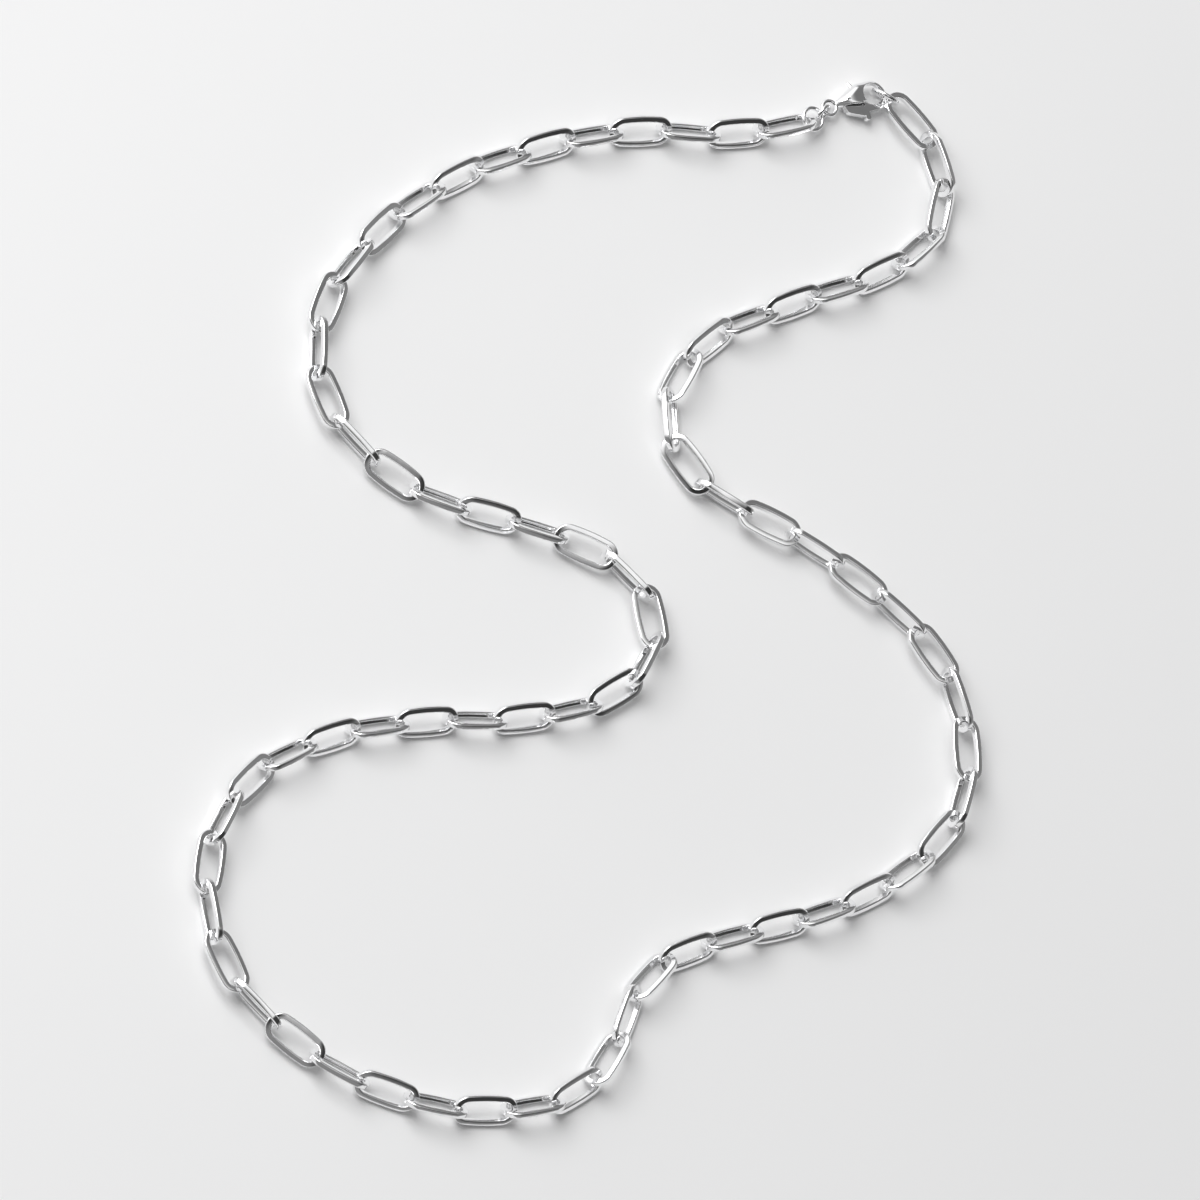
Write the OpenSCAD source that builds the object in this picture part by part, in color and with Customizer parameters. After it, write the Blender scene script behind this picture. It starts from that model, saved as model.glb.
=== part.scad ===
// Paperclip chain necklace: a closed loop of long oval links, two small jump rings,
// a lobster clasp with a sprung lever, and the larger ring that the clasp holds.
// It lies on a flat surface at z = 0. X and Y run across that surface.

/* [Chain link] */
// Length of a link over its ends
link_length = 10.25; // [9:0.05:11]
// Width of a link over its sides
link_width = 5; // [4.8:0.05:6]
// Thickness of the squared wire that a link is bent from
link_wire = 1; // [0.8:0.02:1.04]
// Width of the flat taken off each edge of the link's wire
wire_bevel = 0.2; // [0.1:0.01:0.24]
// Play between two links that pull on each other
link_play = 0.27; // [0.18:0.01:0.36]
// Share by which the links close up where the chain bends, times the bend's radius squared
bend_play = 7; // [5:0.25:9]
// Lean of every link away from lying flat, where the chain isn't twisted
link_lean = 45; // [42:1:48]

/* [Jump rings] */
// Wire of the two small jump rings
ring_wire = 0.6; // [0.5:0.02:0.66]
// Room inside the ring by the chain, beyond the two wires that share it
chain_ring_room = 1.1; // [0.9:0.05:1.3]
// Room inside the ring by the eye, beyond the two wires that share it
eye_ring_room = 0.8; // [0.65:0.05:1.1]
// Lean of the ring by the chain, from flat
chain_ring_lean = 10; // [6:1:14]
// Lean of the ring by the eye, from flat
eye_ring_lean = 70; // [66:1:75]

/* [Clasp ring] */
// Wire of the ring that the clasp holds
hook_ring_wire = 0.7; // [0.6:0.02:0.8]
// Room inside that ring, beyond the clasp's rim and the last link's wire
hook_ring_room = 1.58; // [1.56:0.01:1.62]
// Lean of that ring, from flat
hook_ring_lean = 69; // [67:1:71]

/* [Clasp] */
// From the middle of the eye to the outer end of the hook
clasp_reach = 9.75; // [9.5:0.05:10.5]
// Outer radius of the hook's round end
hook_radius = 2.3; // [2.25:0.05:2.5]
// Width of the hook's rim, seen from above
rim_width = 0.7; // [0.66:0.02:0.74]
// Thickness of the clasp at its fullest place
belly_thick = 3; // [2.9:0.05:3.4]
// Thickness of the clasp at the hook's end
nose_thick = 0.8; // [0.7:0.05:0.9]
// How far the clasp's rounded side stands out beyond the hook's round end
edge_round = 0.05; // [0.04:0.01:0.3]
// Wire of the eye
eye_wire = 0.6; // [0.5:0.02:0.66]
// Room inside the eye, beyond the jump ring's wire
eye_room = 1; // [0.8:0.05:1.2]

/* [Lever] */
// Thickness of the lever
lever_thick = 1.1; // [0.9:0.05:1.2]
// Radius of the lever's root around its pin
root_radius = 0.75; // [0.65:0.05:0.8]
// Radius of the thumb knob
knob_radius = 0.42; // [0.35:0.01:0.5]
// How far the knob's middle stands out from the pin, across the clasp
knob_reach = 3.2; // [3.05:0.05:3.4]
// Radius of the hinge pin
pin_radius = 0.3; // [0.25:0.01:0.34]
// Free gap on each side of the lever in its slot
lever_gap = 0.12; // [0.1:0.01:0.16]
// Free gap between the lever's tip and the hook's nose
gate_gap = 0.1; // [0.08:0.01:0.14]
// Free gap around the pin in the lever
pin_gap = 0.04; // [0.02:0.01:0.06]
// Free gap around the pin in the clasp's cheeks
pin_fit = 0.01; // [0.01:0.005:0.02]

/* [Hidden] */
silver = "#d9dadc";
bright_silver = "#e6e7e9";
shadow_silver = "#b9bbbf";

// Where the middle of the clasp's eye lies, and the way the clasp points
eye_at = [41.9, 79.5];
clasp_turn = 18;
// Ways from the eye to the first ring, on to the second ring, and on to the chain
eye_ring_turn = 220;
chain_ring_turn = 206;
// Way from the hook's ring to the last link, and how far up around the ring that link hangs
hook_ring_turn = -27;
hook_link_rise = 14;
// Moves the middle of the laid-out necklace onto the origin
loop_shift = [4.13, -0.32];

// The chain's route: chosen points that it passes, from the eye's end to the hook's end.
// Columns: x, y, and the chain's twist in degrees.
ROUTE = [
    [33.5, 75.5, 0],
    [25.5, 74, 0],
    [10, 73.5, 0],
    [-6, 69.5, 0],
    [-21, 63, 0],
    [-33, 54, -18],
    [-42.5, 41, -35],
    [-44, 33, -41],
    [-42, 25.5, -45],
    [-29.5, 14.5, -85],
    [-14, 10.5, -95],
    [0.5, 6, -62],
    [6, 1, -50],
    [7.5, -5, -45],
    [5.5, -11, -33],
    [1, -15, -15],
    [-13.5, -20, 0],
    [-29.5, -21.5, 0],
    [-45.5, -25, 0],
    [-60, -33.5, -18],
    [-67, -47.5, -41],
    [-64, -63.5, -45],
    [-52, -74.5, -85],
    [-37.5, -80.5, -95],
    [-22.5, -81.5, -90],
    [-8, -76.5, -90],
    [-3, -69.5, -90],
    [0, -62.5, -90],
    [4, -57.5, -90],
    [16.5, -52, -90],
    [31, -47.5, -90],
    [44.5, -40.5, -90],
    [54.5, -30, -60],
    [56, -15, -53],
    [53.5, -7.5, -47],
    [43, 3.5, -47],
    [30.5, 11.5, -44],
    [16, 19, -24],
    [12, 26.5, -3],
    [13, 33.5, -1],
    [18.5, 40.5, 2],
    [33.5, 48, 0],
    [48.5, 54, 0],
    [56, 59, 8],
    [59, 65.5, 15],
    [58.5, 72.5, 28],
];
// The chain's twist where the clasp's ring holds it
end_twist = 42;
// Steps that the smooth curve is measured in, between two points of the route
route_steps = 12;

// Link, from its sizes
side_half = (link_width - link_wire) / 2;
bend_x = (link_length - link_width) / 2;
taut_pitch = link_length - 2 * link_wire - link_play;

// Rings, as radii of the wire's middle line
chain_ring_r = (link_wire + 2 * ring_wire + chain_ring_room) / 2;
eye_ring_r = (2 * ring_wire + eye_wire + eye_ring_room) / 2;
eye_r = (ring_wire + eye_wire + eye_room) / 2;
hook_ring_r = (rim_width + link_wire + hook_ring_room + hook_ring_wire) / 2;

// Clasp, in its own frame: the eye's middle at the origin, X towards the hook, Z up
clasp_z = belly_thick / 2;
// A length and a depth that reach past the whole clasp, for its cuts
past_clasp = 10;
// Its low side lies this far below the eye's middle
clasp_drop = 2.15;
neck_at = [eye_r + 0.4, 0.3];
neck_r = 0.5;
hook_at = [clasp_reach - hook_radius, hook_radius - clasp_drop];
crown_at = [hook_at[0] - 2.05, hook_at[1]];

// Its thickness: a swell to the belly, this far along it, then a slow fall to the nose
neck_thick = 1.2;
belly_share = 0.42;
belly_swell = 0.8;
nose_fall = 2.2;
side_steps = 12;
side_start = neck_at[0] - neck_r;
side_run = clasp_reach + 0.1 - side_start;

// The hook's opening is a little longer than round, and stands a little high
window_shift = 0.15;
window_stretch = 0.35;
window_narrow = 0.05;
window_front = [hook_at[0], hook_at[1] + window_shift];
window_back = [window_front[0] - window_stretch, window_front[1]];
window_r = hook_radius - rim_width;

// Lever: its pin, its bar along the clasp's low side, its arched underside, and the knob on its stem
pin_at = [2.9, 0.25];
lever_bend = [hook_at[0] - 1.95, hook_at[1] - hook_radius + rim_width / 2];
lever_bar_r = rim_width / 2;
arch_start = [pin_at[0] + 0.2, pin_at[1] - 1.35];
arch_start_r = 0.7;
arch_end = [hook_at[0] - 2.55, lever_bend[1] - 0.35];
arch_end_r = 0.48;
knob_at = [hook_at[0] - 2.05, pin_at[1] - knob_reach];

// Where the body is cut away for the lever: its underside, and its slot's round inner end
cheek_start = [0, -0.02];
cheek_end = [crown_at[0] - 0.1, -1.15];
slot_end = [crown_at[0], -0.7];
slot_end_r = 1.5;
slot_mouth = [pin_at[0] - 0.6, -past_clasp / 2];
slot_mouth_width = 4;

// The gate is the stretch of the hook's rim that the lever closes
gate_y = -0.5;
gate_start = crown_at[0] - 0.4;
// Where the gate ends on the window's wall, seen from the pin
gate_end = [window_front[0] + sqrt(pow(window_r, 2) - pow(gate_y - window_front[1], 2)), gate_y];
gate_r = norm(gate_end - pin_at) - gate_gap;

// The small pointed horn on the clasp's back
horn_root = [crown_at[0] - 0.85, hook_at[1] + 1.95];
horn_tip = [crown_at[0] - 1.1, hook_at[1] + 2.8];
horn_root_r = 0.5;
horn_tip_r = 0.2;
horn_thick = 1;

// Where the middle of the ring in the hook lies, and the last link's play in that ring
hook_ring_middle = [clasp_reach - 0.67, -0.64];
hook_link_play = 0.055;

function heading(a) = [cos(a), sin(a)];
function unit(v) = v / norm(v);
function spin(p, a) = [p[0] * cos(a) - p[1] * sin(a), p[0] * sin(a) + p[1] * cos(a)];
function clasp_to_floor(p) = eye_at + spin(p, clasp_turn);

// Half of the distance between the middles of two wires that pull on each other
function joint_reach(wire_a, wire_b) = ((wire_a + wire_b) / 2 + link_play) / 2;

// How far a squared wire reaches from its middle, at an angle from its flat
function wire_support(a) =
    max(abs(sin(a)) * link_wire / 2 + abs(cos(a)) * (link_wire / 2 - wire_bevel),
        abs(cos(a)) * link_wire / 2 + abs(sin(a)) * (link_wire / 2 - wire_bevel));
function link_rest(lean) = side_half * abs(sin(lean)) + wire_support(lean);
// Height of the chain's middle line at its two ends, where it isn't twisted
start_z = max(link_rest(link_lean), wire_support(0));

// The three joints between the eye and the chain, worked out from the eye outwards
eye_joint = eye_at + (eye_r - joint_reach(ring_wire, eye_wire)) * heading(eye_ring_turn);
ring_joint = eye_joint + (2 * eye_ring_r - joint_reach(ring_wire, eye_wire)
    - joint_reach(ring_wire, ring_wire)) * heading(eye_ring_turn);
chain_start = ring_joint + (2 * chain_ring_r - joint_reach(ring_wire, ring_wire)
    - joint_reach(ring_wire, link_wire)) * heading(chain_ring_turn);
eye_joint_z = clasp_z;
ring_joint_z = (clasp_z + start_z) / 2;

// The ring in the hook stands on the surface; the last link hangs in its outer end
hook_ring_at = clasp_to_floor(hook_ring_middle);
hook_ring_z = hook_ring_r * sin(hook_ring_lean) + hook_ring_wire / 2;
hook_link_way = hook_ring_r - (hook_ring_wire + link_wire) / 4 - hook_link_play;
chain_end = hook_ring_at + hook_link_way * (cos(hook_link_rise) * heading(hook_ring_turn)
    - sin(hook_link_rise) * cos(hook_ring_lean) * heading(hook_ring_turn + 90));
chain_end_z = hook_ring_z + hook_link_way * sin(hook_link_rise) * sin(hook_ring_lean);

// Smooth curve through the route's points, measured by its length
stops = concat([[chain_start[0], chain_start[1], 0]], ROUTE, [[chain_end[0], chain_end[1], end_twist]]);
last_stop = len(stops) - 1;
function gap_after(i) = norm([stops[i + 1][0] - stops[i][0], stops[i + 1][1] - stops[i][1]]);
function slope_at(i) =
    i == 0 ? (stops[1] - stops[0]) / gap_after(0)
    : i == last_stop ? (stops[i] - stops[i - 1]) / gap_after(i - 1)
    : ((stops[i] - stops[i - 1]) * gap_after(i) / gap_after(i - 1)
        + (stops[i + 1] - stops[i]) * gap_after(i - 1) / gap_after(i))
        / (gap_after(i - 1) + gap_after(i));
slopes = [for (i = [0:last_stop]) slope_at(i)];
function curve(i, u) = (2 * u * u * u - 3 * u * u + 1) * stops[i]
    + (u * u * u - 2 * u * u + u) * gap_after(i) * slopes[i]
    + (3 * u * u - 2 * u * u * u) * stops[i + 1]
    + (u * u * u - u * u) * gap_after(i) * slopes[i + 1];
trail = concat([for (i = [0:last_stop - 1]) for (k = [0:route_steps - 1]) curve(i, k / route_steps)],
    [stops[last_stop]]);
function flat_way(i) = [trail[i][0] - trail[i - 1][0], trail[i][1] - trail[i - 1][1]];
function bend_after(i) = i + 1 < len(trail)
    ? acos(min(1, unit(flat_way(i)) * unit(flat_way(i + 1)))) * PI / 180 / norm(flat_way(i)) : 0;
function flat_step(i) = norm(flat_way(i)) * (1 + bend_play * pow(bend_after(i), 2));
walked = [for (i = 0, s = 0; i < len(trail); i = i + 1, s = s + (i < len(trail) ? flat_step(i) : 0)) s];
trail_x = [for (i = [0:len(trail) - 1]) [walked[i], trail[i][0]]];
trail_y = [for (i = [0:len(trail) - 1]) [walked[i], trail[i][1]]];
trail_twist = [for (i = [0:len(trail) - 1]) [walked[i], trail[i][2]]];
chain_length = walked[len(walked) - 1];
// An odd count, so that the first and the last link lean the same way
links = 2 * ceil((chain_length / taut_pitch - 1) / 2) + 1;
pitch = chain_length / links;
half_count = ceil(links / 2);

function twist_at(s) = lookup(s, trail_twist);
function lean_at(i) = (i % 2 == 0 ? -link_lean : link_lean) + twist_at((i + 0.5) * pitch);
// A joint lies as high as the higher-standing link beside it, so that no link dips below the surface
function joint_z(i) = i == 0 ? start_z : i == links ? chain_end_z
    : max(link_rest(lean_at(i - 1)), link_rest(lean_at(i)));
function joint_at(i) = [lookup(i * pitch, trail_x), lookup(i * pitch, trail_y), joint_z(i)];

// Puts a piece between two points: its X runs from one to the other, and lean turns it
// about that line, from lying flat
module between(from, to, lean, middle) {
    along = unit(to - from);
    side = unit(cross([0, 0, 1], along));
    up = cross(along, side);
    face = cos(lean) * up + sin(lean) * side;
    across = cross(face, along);
    multmatrix([[along[0], across[0], face[0], middle[0]],
                [along[1], across[1], face[1], middle[1]],
                [along[2], across[2], face[2], middle[2]],
                [0, 0, 0, 1]])
        children();
}

module laid_out() {
    translate([loop_shift[0], loop_shift[1], 0]) children();
}

// Section of the link's wire: a square with its edges taken off
module wire_section() {
    flat = link_wire / 2;
    edge = link_wire / 2 - wire_bevel;
    polygon([[flat, -edge], [flat, edge], [edge, flat], [-edge, flat],
        [-flat, edge], [-flat, -edge], [-edge, -flat], [edge, -flat]]);
}

// One link: two half-round ends and two straight sides
module link() {
    for (flip = [0, 180])
        rotate([0, 0, flip]) {
            translate([bend_x, 0, 0])
                rotate_extrude(angle = 180, start = -90, $fn = 48)
                    translate([side_half, 0]) wire_section();
            translate([-bend_x, side_half, 0])
                rotate([90, 0, 90])
                    linear_extrude(height = 2 * bend_x) wire_section();
        }
}

// The links from one number up to, and without, another
module chain(first, stop) {
    color(silver)
        laid_out()
            for (i = [first:stop - 1]) {
                from = joint_at(i);
                to = joint_at(i + 1);
                between(from, to, lean_at(i), (from + to) / 2) link();
            }
}

module chain_eye_half() {
    chain(0, half_count);
}

module chain_hook_half() {
    chain(half_count, links);
}

module round_ring(middle_r, wire) {
    rotate_extrude($fn = 64)
        translate([middle_r, 0]) circle(d = wire, $fn = 32);
}

module ring_by_chain() {
    from = [ring_joint[0], ring_joint[1], ring_joint_z];
    to = [chain_start[0], chain_start[1], start_z];
    middle = from + (chain_ring_r - joint_reach(ring_wire, ring_wire)) * unit(to - from);
    color(bright_silver)
        laid_out() between(from, to, chain_ring_lean, middle) round_ring(chain_ring_r, ring_wire);
}

module ring_by_eye() {
    from = [eye_joint[0], eye_joint[1], eye_joint_z];
    to = [ring_joint[0], ring_joint[1], ring_joint_z];
    middle = from + (eye_ring_r - joint_reach(ring_wire, eye_wire)) * unit(to - from);
    color(bright_silver)
        laid_out() between(from, to, eye_ring_lean, middle) round_ring(eye_ring_r, ring_wire);
}

module hook_ring() {
    middle = [hook_ring_at[0], hook_ring_at[1], hook_ring_z];
    outward = heading(hook_ring_turn);
    color(bright_silver)
        laid_out() between(middle, middle + [outward[0], outward[1], 0], hook_ring_lean, middle)
            round_ring(hook_ring_r, hook_ring_wire);
}

// Outline of two circles and the band between them
module taper(p, r, q, s) {
    reach = norm(q - p);
    turn = atan2(q[1] - p[1], q[0] - p[0]);
    tilt = acos((r - s) / reach);
    translate(p) circle(r = r, $fn = 96);
    translate(q) circle(r = s, $fn = 96);
    polygon([p + r * heading(turn + tilt), p + r * heading(turn - tilt),
        q + s * heading(turn - tilt), q + s * heading(turn + tilt)]);
}

module hook_outline() {
    taper(crown_at, hook_radius, hook_at, hook_radius);
}

module window_outline() {
    hull() {
        translate(window_back) circle(r = window_r - window_narrow, $fn = 64);
        translate(window_front) circle(r = window_r, $fn = 64);
    }
}

// What the hook's rim has below the gate, which is the lever's place
module gate_outline(reach_r, top_y) {
    intersection() {
        translate(pin_at) circle(r = reach_r, $fn = 96);
        translate([gate_start, top_y - past_clasp]) square(past_clasp);
    }
}

module body_outline() {
    difference() {
        hull() {
            translate(neck_at) circle(r = neck_r, $fn = 48);
            translate(crown_at) circle(r = hook_radius, $fn = 96);
            translate(hook_at) circle(r = hook_radius, $fn = 96);
        }
        polygon([cheek_start, cheek_end, [cheek_end[0], -past_clasp], [cheek_start[0], -past_clasp]]);
        gate_outline(gate_r + gate_gap, gate_y);
    }
}

// Half of the clasp's thickness at a share of its length
function half_thick(u) = u < belly_share
    ? neck_thick / 2 + (belly_thick - neck_thick) / 2 * pow(sin(90 * u / belly_share), belly_swell)
    : nose_thick / 2 + (belly_thick - nose_thick) / 2
        * pow(cos(90 * (u - belly_share) / (1 - belly_share)), nose_fall);

// Side shape of the clasp: thin at the neck, full at the belly, thin at the nose
module side_outline() {
    top = [for (k = [0:side_steps]) [side_start + side_run * k / side_steps, half_thick(k / side_steps)]];
    polygon(concat(top, [for (k = [side_steps:-1:0]) [top[k][0], -top[k][1]]]));
}

// The clasp's cast form over an outline: its side shape, with its long sides rounded off
module clasp_form() {
    intersection() {
        translate([0, 0, -belly_thick]) linear_extrude(height = 2 * belly_thick) children();
        translate([0, past_clasp / 2, 0])
            rotate([90, 0, 0]) linear_extrude(height = past_clasp) side_outline();
        translate([0, hook_at[1], 0])
            rotate([0, 90, 0]) cylinder(r = hook_radius + edge_round, h = clasp_reach + 1, $fn = 96);
    }
}

module clasp_place() {
    laid_out()
        translate([eye_at[0], eye_at[1], clasp_z]) rotate([0, 0, clasp_turn]) children();
}

module upright(p, r, h) {
    translate([p[0], p[1], -h / 2]) cylinder(r = r, h = h, $fn = 48);
}

// The slot that the lever's root turns in
module slot_outline() {
    hull() {
        translate(pin_at) circle(r = root_radius + lever_gap, $fn = 48);
        translate(slot_end) circle(r = slot_end_r, $fn = 48);
        translate(slot_mouth) square([slot_mouth_width, 1]);
    }
}

module clasp_body() {
    slot = lever_thick + 2 * lever_gap;
    color(silver)
        clasp_place() {
            difference() {
                clasp_form() body_outline();
                translate([0, 0, -belly_thick]) linear_extrude(height = 2 * belly_thick) window_outline();
                translate([0, 0, -slot / 2]) linear_extrude(height = slot) slot_outline();
                upright(pin_at, pin_radius + pin_fit, 2 * belly_thick);
            }
            round_ring(eye_r, eye_wire);
            translate([0, 0, -horn_thick / 2])
                linear_extrude(height = horn_thick) taper(horn_root, horn_root_r, horn_tip, horn_tip_r);
        }
}

// The lever's outline: its bar from the pin, its arched underside, its knob, and the gate at its tip
module lever_outline() {
    taper(pin_at, root_radius, lever_bend, lever_bar_r);
    taper(pin_at, root_radius, arch_start, arch_start_r);
    taper(arch_start, arch_start_r, arch_end, arch_end_r);
    taper(lever_bend, lever_bar_r, knob_at, knob_radius);
    difference() {
        intersection() {
            hook_outline();
            gate_outline(gate_r, gate_y - gate_gap);
            translate([lever_bend[0], -past_clasp / 2]) square(past_clasp);
        }
        window_outline();
    }
}

module clasp_lever() {
    color(bright_silver)
        clasp_place()
            difference() {
                translate([0, 0, -lever_thick / 2]) linear_extrude(height = lever_thick) lever_outline();
                upright(pin_at, pin_radius + pin_gap, 2 * belly_thick);
            }
}

// The pin's ends lie flush with the clasp's cheeks on the side of the neck
module clasp_pin() {
    cheek = half_thick((pin_at[0] - pin_radius - side_start) / side_run);
    color(shadow_silver)
        clasp_place() upright(pin_at, pin_radius, 2 * cheek);
}

chain_eye_half();
chain_hook_half();
ring_by_chain();
ring_by_eye();
hook_ring();
clasp_body();
clasp_lever();
clasp_pin();
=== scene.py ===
"""Looks of a paperclip chain necklace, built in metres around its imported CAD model.

Every link of the chain is rebuilt as a finely rounded wire where its CAD solid lies. The jump rings,
the ring in the hook, the lobster clasp, its lever and its pin are rebuilt in the same way. All of it is
polished silver, on a plain pale floor under soft studio light.
"""

import logging
import math
from dataclasses import dataclass, field
from enum import Enum

import bpy
import numpy as np
from mathutils import Matrix, Vector


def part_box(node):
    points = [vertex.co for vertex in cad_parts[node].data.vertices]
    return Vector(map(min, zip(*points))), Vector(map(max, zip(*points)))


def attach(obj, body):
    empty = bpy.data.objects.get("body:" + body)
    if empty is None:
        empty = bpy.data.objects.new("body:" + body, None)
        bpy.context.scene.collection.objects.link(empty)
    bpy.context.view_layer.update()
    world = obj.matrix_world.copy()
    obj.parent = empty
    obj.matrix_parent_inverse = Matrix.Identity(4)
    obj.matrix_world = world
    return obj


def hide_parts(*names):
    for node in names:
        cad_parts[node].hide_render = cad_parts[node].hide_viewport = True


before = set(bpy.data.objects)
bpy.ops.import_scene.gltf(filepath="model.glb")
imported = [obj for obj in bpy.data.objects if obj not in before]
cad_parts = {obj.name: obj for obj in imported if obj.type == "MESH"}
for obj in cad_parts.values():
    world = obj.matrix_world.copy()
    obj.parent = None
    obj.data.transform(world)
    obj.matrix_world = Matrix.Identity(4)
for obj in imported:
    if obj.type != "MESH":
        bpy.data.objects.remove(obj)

LOG = logging.getLogger("necklace")
MM = 0.001
# CAD corners that round to the same place, at this many steps in a millimetre, are one corner
CORNERS_PER_MM = 1000
# Digits that a hull's corners are rounded to, and the least turn at a corner that is kept
HULL_DIGITS = 6
HULL_TURN = 1e-9


class Body(Enum):
    """The CAD bodies that the pieces ride on."""

    NECKLACE = "necklace"
    LEVER = "lever"


class Seam(Enum):
    """On which side of a link its soldered seam lies."""

    UPPER = 1.0
    LOWER = -1.0


# ---------------------------------------------------------------- finishes


@dataclass(frozen=True)
class SilverFinish:
    """Polished silver with soft polishing waves, fine scratches and slight shading of its colour."""

    name: str
    bright: tuple[float, float, float] = (0.95, 0.95, 0.955)
    shade: tuple[float, float, float] = (0.86, 0.865, 0.875)
    roughness: float = 0.09
    roughness_spread: float = 0.05
    wave_mm: float = 2.2
    wave_depth_mm: float = 0.012
    grain_mm: float = 0.16
    grain_depth_mm: float = 0.0008
    tone_mm: float = 2.7273
    tone_range: tuple[float, float] = (0.45, 0.75)
    haze_stretch: float = 1.7
    haze_range: tuple[float, float] = (0.3, 0.7)

    def material(self) -> bpy.types.Material:
        """Makes the finish as a node material.

        Returns:
            The material, whose nodes read object coordinates alone.
        """
        made = bpy.data.materials.new(self.name)
        made.use_nodes = True
        nodes, links = made.node_tree.nodes, made.node_tree.links
        nodes.clear()
        out = nodes.new("ShaderNodeOutputMaterial")
        shader = nodes.new("ShaderNodeBsdfPrincipled")
        shader.inputs["Metallic"].default_value = 1.0
        shader.inputs["Specular IOR Level"].default_value = 0.5
        links.new(shader.outputs["BSDF"], out.inputs["Surface"])
        place = nodes.new("ShaderNodeTexCoord")

        tone = self._noise(made, place, self.tone_mm, detail=3.0)
        colour = nodes.new("ShaderNodeMix")
        colour.data_type = "RGBA"
        colour.inputs["A"].default_value = (*self.bright, 1.0)
        colour.inputs["B"].default_value = (*self.shade, 1.0)
        links.new(self._spread(made, tone, self.tone_range, (0.0, 1.0)), colour.inputs["Factor"])
        links.new(colour.outputs["Result"], shader.inputs["Base Color"])

        haze = self._noise(made, place, self.wave_mm * self.haze_stretch, detail=4.0)
        ends = (self.roughness - self.roughness_spread, self.roughness + self.roughness_spread)
        links.new(self._spread(made, haze, self.haze_range, ends), shader.inputs["Roughness"])

        wave = self._noise(made, place, self.wave_mm, detail=1.0)
        grain = self._noise(made, place, self.grain_mm, detail=2.0)
        soft = self._bump(made, wave, self.wave_depth_mm * MM)
        fine = self._bump(made, grain, self.grain_depth_mm * MM)
        links.new(soft.outputs["Normal"], fine.inputs["Normal"])
        links.new(fine.outputs["Normal"], shader.inputs["Normal"])
        return made

    @staticmethod
    def _noise(
        made: bpy.types.Material, place: bpy.types.Node, size_mm: float, detail: float
    ) -> bpy.types.NodeSocket:
        """Adds a noise pattern.

        Args:
            made: The material that it is added to.
            place: The node that gives the place on the object.
            size_mm: Length of one of its waves, in millimetres.
            detail: Finer layers that are added to the pattern.

        Returns:
            The pattern's value.
        """
        noise = made.node_tree.nodes.new("ShaderNodeTexNoise")
        noise.inputs["Scale"].default_value = 1.0 / (size_mm * MM)
        noise.inputs["Detail"].default_value = detail
        made.node_tree.links.new(place.outputs["Object"], noise.inputs["Vector"])
        return noise.outputs["Fac"]

    @staticmethod
    def _spread(
        made: bpy.types.Material,
        value: bpy.types.NodeSocket,
        source: tuple[float, float],
        target: tuple[float, float],
    ) -> bpy.types.NodeSocket:
        """Adds a node that maps a pattern onto a range.

        Args:
            made: The material that it is added to.
            value: The pattern.
            source: The pattern's values that give the low and the high end.
            target: The low and the high end.

        Returns:
            The mapped value.
        """
        ranged = made.node_tree.nodes.new("ShaderNodeMapRange")
        ranged.inputs["From Min"].default_value, ranged.inputs["From Max"].default_value = source
        ranged.inputs["To Min"].default_value, ranged.inputs["To Max"].default_value = target
        made.node_tree.links.new(value, ranged.inputs["Value"])
        return ranged.outputs["Result"]

    @staticmethod
    def _bump(
        made: bpy.types.Material, height: bpy.types.NodeSocket, depth: float
    ) -> bpy.types.Node:
        """Adds a bump.

        Args:
            made: The material that it is added to.
            height: The pattern that is raised.
            depth: How deep the pattern is, in metres.

        Returns:
            The bump node.
        """
        bump = made.node_tree.nodes.new("ShaderNodeBump")
        bump.inputs["Strength"].default_value = 1.0
        bump.inputs["Distance"].default_value = depth
        made.node_tree.links.new(height, bump.inputs["Height"])
        return bump


@dataclass(frozen=True)
class PaperFinish:
    """The matt pale floor, with a faint unevenness."""

    name: str = "pale_floor"
    pale: tuple[float, float, float] = (0.91, 0.91, 0.912)
    shade: tuple[float, float, float] = (0.9, 0.9, 0.903)
    roughness: float = 0.95
    sheen: float = 0.1
    waves_per_m: float = 18.0
    wave_detail: float = 3.0

    def material(self) -> bpy.types.Material:
        """Makes the finish as a node material.

        Returns:
            The material.
        """
        made = bpy.data.materials.new(self.name)
        made.use_nodes = True
        nodes, links = made.node_tree.nodes, made.node_tree.links
        shader = nodes["Principled BSDF"]
        shader.inputs["Roughness"].default_value = self.roughness
        shader.inputs["Specular IOR Level"].default_value = self.sheen
        place = nodes.new("ShaderNodeTexCoord")
        noise = nodes.new("ShaderNodeTexNoise")
        noise.inputs["Scale"].default_value = self.waves_per_m
        noise.inputs["Detail"].default_value = self.wave_detail
        links.new(place.outputs["Object"], noise.inputs["Vector"])
        colour = nodes.new("ShaderNodeMix")
        colour.data_type = "RGBA"
        colour.inputs["A"].default_value = (*self.pale, 1.0)
        colour.inputs["B"].default_value = (*self.shade, 1.0)
        links.new(noise.outputs["Fac"], colour.inputs["Factor"])
        links.new(colour.outputs["Result"], shader.inputs["Base Color"])
        return made


# ---------------------------------------------------------------- reading the CAD solids


@dataclass(frozen=True)
class Place:
    """Where a wire loop lies: its middle and its three axes, in metres."""

    middle: np.ndarray
    along: np.ndarray
    across: np.ndarray
    face: np.ndarray


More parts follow.
